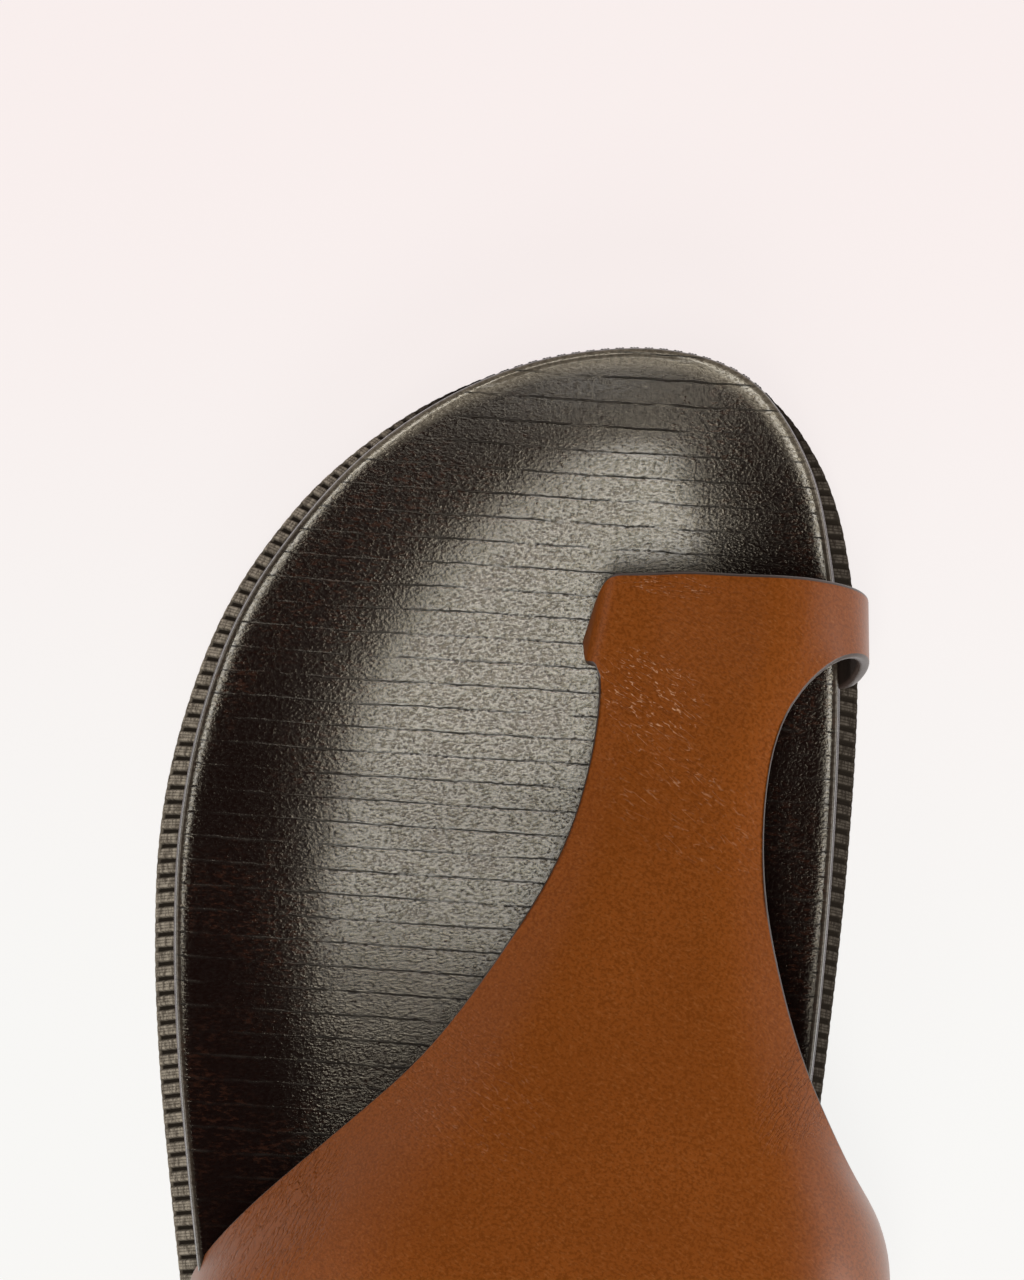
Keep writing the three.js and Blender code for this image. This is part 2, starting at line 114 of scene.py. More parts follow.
# Footbed's outer wall from its underside up: (inset, rise, share of the rim)
BED_WALL = [
    (8.0, 0.0, 0), (1.3, 0.0, 0), (0.9, 0.05, 0), (0.55, 0.18, 0), (0.34, 0.42, 0), (0.26, 0.7, 0),
    (0.28, 0.92, 0), (0.36, 1.05, 0), (0.46, 1.06, 0), (0.55, 0.94, 0), (0.68, 0.78, 0),
    (0.82, 0.85, 0), (0.76, 1.3, 0), (0.68, 1.8, 0), (0.63, 2.4, 0), (0.61, 0, 0.5),
    (0.63, 0, 0.7), (0.69, 0, 0.84), (0.79, 0, 0.92), (0.94, 0, 0.97), (1.13, 0, 0.99),
    (1.4, 0, 1.0), (1.7, 0, 1.0),
]
# Rows of the whole footbed that are the light bead, counted from the middle of its underside
BEAD_ROWS = (5, 10)
# Footbed's bowl from its rim inwards: (share of the way to the spine, share of the depth)
BED_BOWL = [
    (0.045, 0.005), (0.06, 0.035), (0.08, 0.095), (0.105, 0.17), (0.135, 0.26), (0.17, 0.365),
    (0.205, 0.465), (0.245, 0.57), (0.29, 0.675), (0.345, 0.785), (0.4, 0.87), (0.46, 0.93),
    (0.53, 0.967), (0.62, 0.99), (0.74, 0.999), (0.87, 1.0), (1.0, 1.0),
]
BED_POINTS = 400
# Width in millimetres of the band inside the rim that is painted light as a highlight: (share of the
# length, width)
RIM_SHEEN_BAND = [(0, 0), (0.3, 0), (0.4, 1.0), (0.88, 1.0), (0.95, 2.6), (1, 3.7)]
# How far in from the edge the painted highlight starts, and how wide its outer and inner borders are
RIM_SHEEN_START = 0.7
RIM_SHEEN_BORDER = 0.2
RIM_SHEEN_FADE = 1.4

# One rib of the sole's side: (share of the pitch, share of the depth)
RIB_PROFILE = [
    (0.0, -1.0), (0.11, -0.94), (0.19, -0.5), (0.25, -0.08), (0.33, 0.0), (0.43, -0.2),
    (0.52, 0.0), (0.61, -0.2), (0.71, 0.0), (0.81, -0.1), (0.88, -0.55), (0.94, -0.94),
]
# The sole's top from its middle outwards: shares of the way to the spine, from just inside the edge
SOLE_TOP = [1.0, 0.5, 0.1]
TOP_INSET = 0.9
# The sole's side from the seam down: (share of the way down, share of the flare, share of ribs)
SIDE_PROFILE = [
    (0.0, 0.0, 1), (0.3, 0.34, 1), (0.6, 0.66, 1), (0.85, 0.9, 1), (0.93, 0.96, 1),
    (0.96, 0.99, 0.3), (1.0, 1.0, 0.1),
]
# The sole's underside from its side inwards: (inset, share of the way to the spine, share of the bevel)
SOLE_UNDER = [(0.35, 0.0, 0.3), (1.2, 0.0, 0), (1.2, 0.3, 0), (1.2, 1.0, 0)]

# Upper's sections, back edge first: outer end, crown, inner end. The crown is (along, across, rise).
# An end on the seam is (along, turn, fullness); a free end is (along, across, rise, turn, fullness).
SECTIONS = [
    ((-0.174, 95, 0.56), (-0.120, -0.011, 1.076), (-0.221, 116, 0.68)),
    ((-0.145, 95, 0.56), (-0.103, 0.000, 1.055), (-0.182, 118, 0.71)),
    ((-0.116, 94, 0.56), (-0.085, 0.011, 1.031), (-0.141, 121, 0.74)),
    ((-0.087, 94, 0.55), (-0.068, 0.022, 1.007), (-0.101, 123, 0.77)),
    ((-0.057, 91, 0.55), (-0.050, 0.032, 0.983), (-0.060, 125, 0.80)),
    ((-0.028, 86, 0.55), (-0.033, 0.043, 0.957), (-0.019, 128, 0.86)),
    ((-0.016, -0.460, 0.156, 79, 0.55), (-0.014, 0.054, 0.935), (-0.012, 0.499, 0.189, 114, 0.75)),
    ((-0.003, -0.433, 0.266, 71, 0.55), (0.006, 0.065, 0.910), (0.004, 0.550, 0.343, 98, 0.73)),
    ((0.018, -0.380, 0.392, 62, 0.54), (0.027, 0.078, 0.878), (0.026, 0.539, 0.490, 89, 0.70)),
    ((0.043, -0.306, 0.475, 57, 0.53), (0.050, 0.092, 0.844), (0.049, 0.491, 0.585, 79, 0.61)),
    ((0.071, -0.224, 0.535, 52, 0.55), (0.078, 0.108, 0.804), (0.074, 0.454, 0.628, 58, 0.52)),
    ((0.098, -0.149, 0.575, 48, 0.56), (0.105, 0.125, 0.766), (0.099, 0.419, 0.642, 45, 0.55)),
    ((0.132, -0.084, 0.592, 41, 0.54), (0.134, 0.140, 0.728), (0.127, 0.388, 0.638, 38, 0.56)),
    ((0.166, -0.028, 0.592, 34, 0.55), (0.165, 0.156, 0.687), (0.159, 0.361, 0.625, 33, 0.55)),
    ((0.199, 0.022, 0.574, 31, 0.55), (0.196, 0.170, 0.643), (0.190, 0.340, 0.600, 30, 0.55)),
    ((0.232, 0.055, 0.547, 28, 0.55), (0.228, 0.183, 0.599), (0.222, 0.330, 0.564, 28, 0.55)),
    ((0.266, 0.073, 0.506, 27, 0.55), (0.260, 0.198, 0.557), (0.255, 0.330, 0.528, 27, 0.55)),
    ((0.297, 0.080, 0.464, 27, 0.55), (0.291, 0.213, 0.518), (0.285, 0.341, 0.492, 26, 0.55)),
    ((0.316, 0.075, 0.444, 25, 0.55), (0.313, 0.226, 0.493), (0.309, 0.369, 0.462, 26, 0.55)),
    ((0.335, 0.082, 0.436, 20, 0.55), (0.333, 0.234, 0.475), (0.331, 0.376, 0.448, 25, 0.55)),
    ((0.353, 0.088, 0.424, 20, 0.55), (0.352, 0.240, 0.459), (0.353, 0.381, 0.425, 27, 0.55)),
    ((0.368, 0.095, 0.409, 20, 0.55), (0.371, 0.242, 0.440), (0.372, 0.383, 0.397, 30, 0.55)),
]
SEAM_ROWS = 6
LOOP_ROWS = 4
HALF_COLUMNS = 12

# Wing's edge under the footbed: (share of its length inwards, share of the seam's rise)
TAIL = [(0.01, 0.56), (0.08, 0.2), (0.22, 0.02), (0.42, 0), (0.62, 0), (0.82, 0), (1, 0)]
TAIL_LENGTH = 6
SEAM_RISE = 2.2
SEAM_OUTSET = 0.2

# Loop's tab between the toes and its limb down the inner side: (along, across, rise)
TAB_BACK = [
    (0.317, 0.068, 0.434), (0.317, 0.062, 0.413), (0.319, 0.060, 0.379), (0.324, 0.058, 0.291),
    (0.329, 0.057, 0.189), (0.333, 0.056, 0.078), (0.335, 0.055, -0.047),
]
TAB_FRONT = [
    (0.366, 0.086, 0.400), (0.362, 0.080, 0.380), (0.359, 0.076, 0.347), (0.358, 0.075, 0.272),
    (0.358, 0.074, 0.172), (0.358, 0.073, 0.064), (0.358, 0.072, -0.061),
]
LIMB_BACK = [
    (0.329, 0.424, 0.412), (0.333, 0.464, 0.337), (0.330, 0.479, 0.213), (0.323, 0.469, 0.083),
    (0.320, 0.457, 0.029), (0.319, 0.443, 0.004), (0.317, 0.387, 0.002),
]
LIMB_FRONT = [
    (0.371, 0.433, 0.337), (0.369, 0.463, 0.251), (0.366, 0.471, 0.156), (0.362, 0.459, 0.071),
    (0.360, 0.447, 0.029), (0.359, 0.434, 0.004), (0.357, 0.378, 0.002),
]

# How the upper is smoothed and its cut edge rounded, and its material slots after the outside
SMOOTH_STEPS = 2
EDGE_ROUND = 0.5
EDGE_STEPS = 3
EDGE_ANGLE = math.radians(60)
LINING_SLOT = 1
EDGE_SLOT = 2

# Points nearer than this, in metres, are one point
MERGE = 1e-7


def clamp(value, low=0, high=1):
    return min(max(value, low), high)


def curve(table, share):
    """A smooth curve through a table that never passes its values."""
    last = len(table) - 1
    u = clamp(share, table[0][0], table[last][0])

    def slope(i):
        return (table[i + 1][1] - table[i][1]) / (table[i + 1][0] - table[i][0])

    def tangent(i):
        if i == 0:
            return slope(0)
        if i == last:
            return slope(last - 1)
        before, after = slope(i - 1), slope(i)
        return 0 if before * after <= 0 else 2 * before * after / (before + after)

    k = 0
    while k < last - 1 and table[k + 1][0] <= u:
        k += 1
    span = table[k + 1][0] - table[k][0]
    t = (u - table[k][0]) / span
    near = table[k][1] * (1 + 2 * t) * (1 - t) ** 2 + tangent(k) * span * t * (1 - t) ** 2
    far = table[k + 1][1] * t * t * (3 - 2 * t) + tangent(k + 1) * span * t * t * (t - 1)
    return near + far


def share_at(y):
    return y / LENGTH + 0.5


def spring_at(y):
    return TOE_SPRING * curve(SPRING, share_at(y))


def seam_at(y):
    return HEEL_HEIGHT * curve(THICKNESS, share_at(y)) + spring_at(y)


def ground_at(y):
    return spring_at(y) + ARCH_LIFT * curve(LIFT, share_at(y))


def outline_points(steps=24):
    """The closed outline as many points, in millimetres."""
    points = []
    for i in range(len(OUTLINE)):
        p0, p1, p2, p3 = (OUTLINE[(i + k) % len(OUTLINE)] for k in (-1, 0, 1, 2))
        for s in range(steps):
            t = s / steps
            along, across = (
                0.5 * (2 * b + (c - a) * t + (2 * a - 5 * b + 4 * c - d) * t * t
                       + (3 * b - a - 3 * c + d) * t ** 3)
                for a, b, c, d in zip(p0, p1, p2, p3)
            )
            points.append(Vector((across * BALL_WIDTH, along * LENGTH)))
    return points


EDGE = outline_points()
RUN = [0.0]
for before, after in zip(EDGE, EDGE[1:] + EDGE[:1]):
    RUN.append(RUN[-1] + (after - before).length)
AROUND = RUN[-1]


def edge_at(share):
    """Point of the outline and its outward normal at a share of the way round."""
    count = len(EDGE)
    goal = share % 1 * AROUND
    k = bisect_right(RUN, goal, 0, count) - 1
    point = EDGE[k].lerp(EDGE[(k + 1) % count], (goal - RUN[k]) / (RUN[k + 1] - RUN[k]))
    ahead = (EDGE[(k + 2) % count] - EDGE[k - 1]).normalized()
    return point, Vector((ahead.y, -ahead.x))


def crossing(y, side):
    """Where a line across the sandal meets the outline on the outer or inner side."""
    best = None
    for a, b in zip(EDGE, EDGE[1:] + EDGE[:1]):
        if (a.y - y) * (b.y - y) <= 0 and a.y != b.y:
            x = a.x + (b.x - a.x) * (y - a.y) / (b.y - a.y)
            if best is None or x * side > best * side:
                best = x
    return best


# Both edges at stations from the heel tip to the toe tip, a hair inside them
WIDTH_STEPS = 400
TIP_MARGIN = 0.01
HEEL_TIP = min(p.y for p in EDGE) + TIP_MARGIN
TOE_TIP = max(p.y for p in EDGE) - TIP_MARGIN
WIDTHS = []
for step in range(WIDTH_STEPS + 1):
    station = HEEL_TIP + (TOE_TIP - HEEL_TIP) * step / WIDTH_STEPS
    WIDTHS.append((crossing(station, OUTER), crossing(station, INNER)))


def sides_at(y):
    """The outer and inner edges at a station down the length, from the table of widths."""
    steps = (clamp(y, HEEL_TIP, TOE_TIP) - HEEL_TIP) / (TOE_TIP - HEEL_TIP) * WIDTH_STEPS
    k = min(int(steps), WIDTH_STEPS - 1)
    t = steps - k
    return tuple(a * (1 - t) + b * t for a, b in zip(WIDTHS[k], WIDTHS[k + 1]))


def middle_at(y):
    return sum(sides_at(y)) / 2


def across_at(outer_table, inner_table, flat):
    """Mixes a curve down the outer side into one down the inner side, by the place across."""
    outer, inner = sides_at(flat.y)
    inwards = clamp((flat.x - outer) / max(inner - outer, 2 * GAP))
    share = share_at(flat.y)
    return curve(outer_table, share) * (1 - inwards) + curve(inner_table, share) * inwards


def flare_at(flat):
    return SIDE_FLARE * across_at(OUTER_FLARE, INNER_FLARE, flat)


def rim_at(flat):
    return CUP_HEIGHT * across_at(OUTER_RIM, INNER_RIM, flat)


def depth_at(flat):
    return CUP_HEIGHT * curve(DEPTH, share_at(flat.y))


# The frame's origin is the middle of the outside box, so the sizes above are moved to it
FLARE_POINTS = 800
sole_low, sole_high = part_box("outsole")
plain_edge = [edge_at(n / FLARE_POINTS) for n in range(FLARE_POINTS)]
flared_edge = [point + normal * flare_at(point) for point, normal in plain_edge]
SHIFT = Vector((
    sole_low.x / MM - min(p.x for p in flared_edge),
    sole_high.y / MM - max(p.y for p in flared_edge),
    0,
))


def to_frame(x, y, z):
    return (Vector((x, y, z)) + SHIFT) * MM


def woven(name, rows, closed=False, trim=(), grooves=None):
    """A mesh object from rows of points; a missing point leaves its faces out.

    Faces from the first to the last row of the trim take the second material, and grooves are
    rows of numbers kept with the points, 1 in a groove and 0 on a crest.
    """
    mesh = bmesh.new()
    columns = len(rows[0])
    bmesh.ops.create_grid(mesh, x_segments=columns - 1, y_segments=len(rows) - 1, size=1)
    if grooves:
        layer = mesh.verts.layers.float.new("groove")
        for vert, number in zip(mesh.verts, [n for row in grooves for n in row]):
            vert[layer] = number
    mesh.verts.ensure_lookup_table()
    gone = []
    for vert, point in zip(mesh.verts[:], [p for row in rows for p in row]):
        if point is None:
            gone.append(vert)
        else:
            vert.co = point
    for face in mesh.faces:
        face.smooth = True
        if trim and all(trim[0] <= vert.index // columns <= trim[1] for vert in face.verts):
            face.material_index = 1
    bmesh.ops.delete(mesh, geom=gone, context="VERTS")
    if closed:
        bmesh.ops.remove_doubles(mesh, verts=mesh.verts, dist=MERGE)
        bmesh.ops.recalc_face_normals(mesh, faces=mesh.faces)
    data = bpy.data.meshes.new(name)
    mesh.to_mesh(data)
    mesh.free()
    piece = bpy.data.objects.new(name, data)
    bpy.context.collection.objects.link(piece)
    return piece


def ring(flats, height):
    """A closed row for woven: points seen from above, each lifted to the height at its place."""
    row = [to_frame(flat.x, flat.y, height(flat)) for flat in flats]
    return row + row[:1]


def paired_spine(points):
    """For each point of a ring, the place on the spine that it shares with its opposite number."""
    spine = []
    for k in range(len(points)):
        y = (points[k].y + points[-k].y) / 2 * SPINE_REACH
        spine.append(Vector((middle_at(y), y)))
    return spine


def dress(piece, finish, node):
    for material in finish:
        piece.data.materials.append(material)
    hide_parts(node)
    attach(piece, "root")
    return piece


def ribbed_edge():
    """Points round the outline, each with its outward normal and how far its rib falls back."""
    ribs = round(AROUND / RIB_PITCH)
    around = [((k + share) / ribs, drop) for k in range(ribs) for share, drop in RIB_PROFILE]
    return [(*edge_at(share), drop * RIB_DEPTH) for share, drop in around]


def side_height(y, down):
    """Height of the sole's side at a share of the way down from the seam to the bevel."""
    return seam_at(y) * (1 - down) + (ground_at(y) + SOLE_BEVEL) * down


def make_outsole():
    places = ribbed_edge()
    spine = paired_spine([point for point, normal, drop in places])
    rings = []
    grooves = []
    for inwards in SOLE_TOP:
        flats = [
            (point - normal * TOP_INSET).lerp(centre, inwards)
            for (point, normal, drop), centre in zip(places, spine)
        ]
        rings.append(ring(flats, lambda flat: seam_at(flat.y)))
        # The sole's top counts as a groove, so it takes the painted groove shade
        grooves.append([1] * len(rings[-1]))
    for down, out, ribbed in SIDE_PROFILE:
        flats = [point + normal * (flare_at(point) * out + drop * ribbed) for point, normal, drop in places]
        rings.append(ring(flats, lambda flat: side_height(flat.y, down)))
        row = [-drop / RIB_DEPTH * ribbed for point, normal, drop in places]
        grooves.append(row + row[:1])
    for inset, inwards, up in SOLE_UNDER:
        flats = [
            (point + normal * (flare_at(point) - inset)).lerp(centre, inwards)
            for (point, normal, drop), centre in zip(places, spine)
        ]
        rings.append(ring(flats, lambda flat: ground_at(flat.y) + SOLE_BEVEL * up))
        grooves.append([0] * len(rings[-1]))
    piece = woven("ribbed_outsole", rings, closed=True, grooves=grooves)
    return dress(piece, [sole_rubber()], "outsole")


def bed_height(flat, rise=0, rim=0, depth=0):
    """Height over the footbed's underside: a rise, and shares of its rim and of its depth."""
    return seam_at(flat.y) + GAP + rise + rim * rim_at(flat) - depth * depth_at(flat)


def mark_slant(piece):
    """Keeps how far the surface leans to the side at each point, 0 level and 1 upright."""
    slant = piece.data.attributes.new("slant", "FLOAT", "POINT")
    for item, normal in zip(slant.data, piece.data.vertex_normals):
        item.value = abs(normal.vector.x)


def mark_rim_sheen(piece, edge):
    """Keeps how much painted rim highlight each point takes, 1 in the band inside the rim and 0 away from
    it.
    """
    rim_sheen = piece.data.attributes.new("rim_sheen", "FLOAT", "POINT")
    for item, vert in zip(rim_sheen.data, piece.data.vertices):
        flat = (vert.co / MM - SHIFT).to_2d()
        band = curve(RIM_SHEEN_BAND, share_at(flat.y))
        if band > 0:
            inset = min((flat - point).length for point in edge)
            started = clamp((inset - RIM_SHEEN_START) / RIM_SHEEN_BORDER)
            item.value = clamp((band - inset) / RIM_SHEEN_FADE + 0.5) * started


def make_footbed():
    places = [edge_at(k / BED_POINTS) for k in range(BED_POINTS)]
    edge = [point for point, normal in places]
    spine = paired_spine(edge)
    rings = [ring(spine, bed_height)]
    for inset, rise, rim in BED_WALL:
        flats = [point - normal * inset for point, normal in places]
        rings.append(ring(flats, lambda flat: bed_height(flat, rise, rim)))
    for inwards, depth in BED_BOWL:
        flats = [point.lerp(centre, inwards) for point, centre in zip(edge, spine)]
        rings.append(ring(flats, lambda flat: bed_height(flat, rim=1, depth=depth)))
    piece = woven("moulded_footbed", rings, closed=True, trim=BEAD_ROWS)
    mark_slant(piece)
    mark_rim_sheen(piece, edge)
    return dress(piece, [footbed_leather(), bead_trim()], "footbed")


def place(entry):
    along, across, rise = entry[:3]
    y = along * LENGTH
    return Vector((across * BALL_WIDTH, y, seam_at(y) + rise * INSTEP))


def section_end(entry, side):
    """An end of a section with the way it sets off towards the crown."""
    turn, fullness = entry[-2:]
    if len(entry) == 3:
        y = entry[0] * LENGTH
        point = Vector((crossing(y, side) + side * SEAM_OUTSET, y, seam_at(y) + SEAM_RISE))
    else:
        point = place(entry)
    return point, math.radians(turn), fullness


def half_arch(end, crown, side):
    """Points from a section's end up to its crown, on one smooth curve."""
    point, turn, fullness = end
    width, height = abs(crown.x - point.x), abs(crown.z - point.z)
    reach = fullness * (abs(width * math.cos(turn)) + abs(height * math.sin(turn)))
    first = point + Vector((-side * math.cos(turn) * reach, 0, math.sin(turn) * reach))
    second = crown + Vector((side * width * fullness, 0, 0))
    arch = []
    for k in range(HALF_COLUMNS + 1):
        t = k / HALF_COLUMNS
        arch.append(point * (1 - t) ** 3 + first * 3 * t * (1 - t) ** 2
                    + second * 3 * t * t * (1 - t) + crown * t ** 3)
    return arch


def wing_tail(end, side):
    """Points from a wing's end inwards, tucked between the footbed and the sole."""
    drop = SEAM_RISE - GAP / 2
    return [end - Vector((side * inwards * TAIL_LENGTH, 0, drop * (1 - up))) for inwards, up in TAIL]


def loop_limb(back, front, share):
    """Points down the tab or the limb of the toe loop, at a share of the way from back to front."""
    return [place(Vector(a).lerp(Vector(b), share)) for a, b in zip(back, front)]


def upper_rows():
    """Points of the upper's middle surface, row by row."""
    first_loop = len(SECTIONS) - LOOP_ROWS
    rows = []
    for row, (outer_entry, crown_entry, inner_entry) in enumerate(SECTIONS):
        outer = section_end(outer_entry, OUTER)
        inner = section_end(inner_entry, INNER)
        crown = place(crown_entry)
        main = half_arch(outer, crown, OUTER) + half_arch(inner, crown, INNER)[-2::-1]
        left = right = [None] * len(TAIL)
        if row < SEAM_ROWS:
            left = wing_tail(outer[0], OUTER)
            right = wing_tail(inner[0], INNER)
        elif row >= first_loop:
            share = (row - first_loop) / (LOOP_ROWS - 1)
            left = loop_limb(TAB_BACK, TAB_FRONT, share)
            right = loop_limb(LIMB_BACK, LIMB_FRONT, share)
        points = left[::-1] + main + right
        rows.append([p if p is None else to_frame(*p) for p in points])
    return rows


def make_upper():
    piece = woven("leather_upper", upper_rows())
    smooth = piece.modifiers.new("smooth", "SUBSURF")
    smooth.levels = smooth.render_levels = SMOOTH_STEPS
    smooth.boundary_smooth = "PRESERVE_CORNERS"
    thick = piece.modifiers.new("thick", "SOLIDIFY")
    thick.thickness = WALL * MM
    thick.offset = 0
    thick.use_even_offset = True
    thick.material_offset = LINING_SLOT
    thick.material_offset_rim = EDGE_SLOT
    rounded = piece.modifiers.new("rounded", "BEVEL")
    rounded.width = EDGE_ROUND * MM
    rounded.use_clamp_overlap = False
    rounded.segments = EDGE_STEPS
    rounded.limit_method = "ANGLE"
    rounded.angle_limit = EDGE_ANGLE
    rounded.material = EDGE_SLOT
    return dress(piece, [upper_leather(), lining_leather(), edge_paint()], "upper")


# Sockets of a colour Mix node: its factor, its two colours and its result
MIX_FACTOR = 0
MIX_FIRST = 6
MIX_SECOND = 7
MIX_RESULT = 2

# Sizes of a crease's folds and of its broken glints, as shares of its pitch
FOLD_SHAPE = (4.5, 1, 4)
GLINT_SHAPE = (1.6, 0.8, 1)


class Field:
    """A number that varies over a surface; ordinary expressions on it add their Math nodes."""

    def __init__(self, finish, socket):
        self.finish = finish
        self.socket = socket

    def math(self, operation, *values):
        return self.finish.add("ShaderNodeMath", {"operation": operation}, dict(enumerate(values)))

    def __add__(self, other):
        return self.math("ADD", self, other)

    __radd__ = __add__

    def __sub__(self, other):
        return self.math("SUBTRACT", self, other)

    def __rsub__(self, other):
        return self.math("SUBTRACT", other, self)

    def __mul__(self, other):
        return self.math("MULTIPLY", self, other)

    __rmul__ = __mul__

    def __truediv__(self, other):
        return self.math("DIVIDE", self, other)

    def fraction(self):
        return self.math("FRACT", self)

    def size(self):
        return self.math("ABSOLUTE", self)

    def between(self, low, high):
        """0 at the low value, 1 at the high one, smooth between."""
        return self.finish.add(
            "ShaderNodeMapRange", {"interpolation_type": "SMOOTHSTEP"},
            {"Value": self, "From Min": low, "From Max": high}, "Result")


class Finish:
    """A material and the nodes that vary it."""

    def __init__(self, name, color, roughness, **constants):
        self.material = bpy.data.materials.new(name)
        self.material.use_nodes = True
        self.tree = self.material.node_tree
        self.shader = self.tree.nodes["Principled BSDF"]
        self.material.diffuse_color = (*color, 1)
        self.shader.inputs["Base Color"].default_value = (*color, 1)
        self.shader.inputs["Roughness"].default_value = roughness
        for key, value in constants.items():
            self.shader.inputs[key.replace("_", " ")].default_value = value

    def feed(self, socket, value):
        if isinstance(value, Field):
            self.tree.links.new(value.socket, socket)
        elif isinstance(value, (tuple, list)) and len(value) == 3 and socket.type == "RGBA":
            socket.default_value = (*value, 1)
        else:
            socket.default_value = value

    def add(self, kind, settings=None, values=None, output=0):
        """A node: its settings first, then the values or links of its sockets."""
        node = self.tree.nodes.new(kind)
        for key, value in (settings or {}).items():
            setattr(node, key, value)
        for key, value in (values or {}).items():
            self.feed(node.inputs[key], value)
        return Field(self, node.outputs[output])

    def place(self, location=(0, 0, 0), rotation=(0, 0, 0), scale=(1, 1, 1)):
        """Object coordinates, moved, turned and stretched."""
        coordinates = self.add("ShaderNodeTexCoord", output="Object")
        return self.add("ShaderNodeMapping", {"vector_type": "TEXTURE"}, {
            "Vector": coordinates, "Location": location, "Rotation": rotation, "Scale": scale}, "Vector")

    def parts(self, vector):
        """The x, y and z of a vector."""
        node = self.tree.nodes.new("ShaderNodeSeparateXYZ")
        self.feed(node.inputs[0], vector)
        return [Field(self, node.outputs[k]) for k in range(3)]

    def noise(self, vector, scale, detail, roughness):
        return self.add("ShaderNodeTexNoise", {}, {
            "Vector": vector, "Scale": scale, "Detail": detail, "Roughness": roughness}, "Fac")

    def drawn_noise(self, size, detail, roughness, turn=(0, 0, 0), centre=(0, 0, 0)):
        """Noise drawn out to a size along its own x, y and z, in metres."""
        return self.noise(self.place(centre, turn, size), 1, detail, roughness)

    def attribute(self, name):
        return self.add("ShaderNodeAttribute", {"attribute_name": name}, output="Fac")

    def wrinkles(self, centre, length, width, turn, pitch):
        """Short folds in an oval patch, 1 in their troughs, and the glints beside them."""
        turned = (0, 0, math.radians(turn))
        x, y, z = self.parts(self.place(centre, turned, (length, width, 1)))
        patch = (x * x + y * y).between(1.0, 0.15)
        fold_size = [pitch * share for share in FOLD_SHAPE]
        glint_size = [pitch * share for share in GLINT_SHAPE]
        folds = self.drawn_noise(fold_size, 2, 0.55, turned, centre)
        broken = self.drawn_noise(glint_size, 1, 0.5, turned, centre)
        glints = (folds - 0.53).size().between(0.021, 0.0) * broken.between(0.46, 0.58) * patch
        return (folds - 0.5).size().between(0.07, 0.0) * patch, glints

    def tint(self, factor, first, second):
        values = {MIX_FACTOR: factor, MIX_FIRST: first, MIX_SECOND: second}
        return self.add("ShaderNodeMix", {"data_type": "RGBA"}, values, MIX_RESULT)

    def color(self, value):
        self.feed(self.shader.inputs["Base Color"], value)

    def roughness(self, value):
        self.feed(self.shader.inputs["Roughness"], value)

    def coat(self, value):
        self.feed(self.shader.inputs["Coat Weight"], value)

    def bump(self, height, distance=1.0, strength=1.0):
        """Relief from a height, in metres where the distance is 1."""
        values = {"Height": height, "Distance": distance, "Strength": strength}
        self.feed(self.shader.inputs["Normal"], self.add("ShaderNodeBump", {}, values, "Normal"))


# Colours of the finishes, in linear red, green and blue
TAN = (0.213, 0.0545, 0.0068)
TAN_CLOUD = (0.241, 0.063, 0.0086)
TAN_PORE = (0.172, 0.043, 0.0044)
# Painted highlights on the raised flecks of the grain
TAN_FLECK_HIGHLIGHT = (0.275, 0.086, 0.019)
CREASE_GLINT = (0.58, 0.32, 0.18)
LINING_BROWN = (0.030, 0.019, 0.014)
EDGE_BROWN = (0.052, 0.034, 0.027)
BED_BROWN = (0.0068, 0.0025, 0.002)
BED_STREAK = (0.032, 0.0115, 0.0066)
# Painted highlight on the roll inside the footbed's rim, widest round the toe
BED_RIM_SHEEN = (0.155, 0.130, 0.098)
# Painted highlight on the lines' lips where the footbed leans
LINE_LIP_SHEEN = (0.026, 0.021, 0.018)
LINE_DARK = (0.005, 0.004, 0.0036)
BEAD_GREY = (0.16, 0.142, 0.146)
BEAD_RUBBED = (0.25, 0.222, 0.23)
# Painted shade on the bead round the toe, where the rim overhangs it
BEAD_SHADE_AT_TOE = (0.022, 0.017, 0.016)
# The sole's outer side is painted lit and its inner side painted in shade, each with random dust
RUBBER_LIT_SIDE = (0.12, 0.100, 0.078)
RUBBER_LIT_SIDE_DUST = (0.36, 0.315, 0.25)
RUBBER_SHADED_SIDE = (0.03, 0.024, 0.019)
RUBBER_SHADED_SIDE_DUST = (0.1, 0.085, 0.068)
# Painted shade on the sole round the toe, under the footbed's rim
RUBBER_SHADE_AT_TOE = (0.022, 0.018, 0.015)
# Painted shade in the fine valleys along each rib's crest and flanks, deeper on the inner side
RUBBER_VALLEY_SHADE = (0.03, 0.024, 0.018)
# Painted shade in the grooves between the ribs and on the sole's top under the footbed
RUBBER_GROOVE_SHADE = (0.024, 0.019, 0.0145)

# Noises: (scale per metre, detail, roughness)
TAN_CLOUDS = (45, 3, 0.5)
TAN_PORES = (2200, 2, 0.6)
LINING_NAP = (1200, 3, 0.5)
PAINT_RIPPLE = (900, 2, 0.5)
LINE_DRIFT = (30, 2, 0.5)
LINE_STIR = (300, 3, 0.7)
BED_SWELL = (160, 2, 0.5)
BED_PATCHES = (60, 3, 0.5)
BEAD_RUB = (260, 3, 0.5)
RUBBER_DUST = (700, 3, 0.7)
RUBBER_GRIT = (1500, 3, 0.7)

# Drawn-out noises: size along, across and upright in metres, and how they are turned
TAN_FLECKS = (0.0008, 0.0003, 0.0005)
TAN_TURN = (0, 0, math.radians(-30))
BED_GRAIN = (0.0007, 0.00034, 0.00042)
GRAIN_TURN = (0.6, 0.45, 0.3)
BED_STREAKS = (0.0013, 0.0005, 0.001)
LINE_GAPS = (0.009, LINE_PITCH * MM, 0.02)

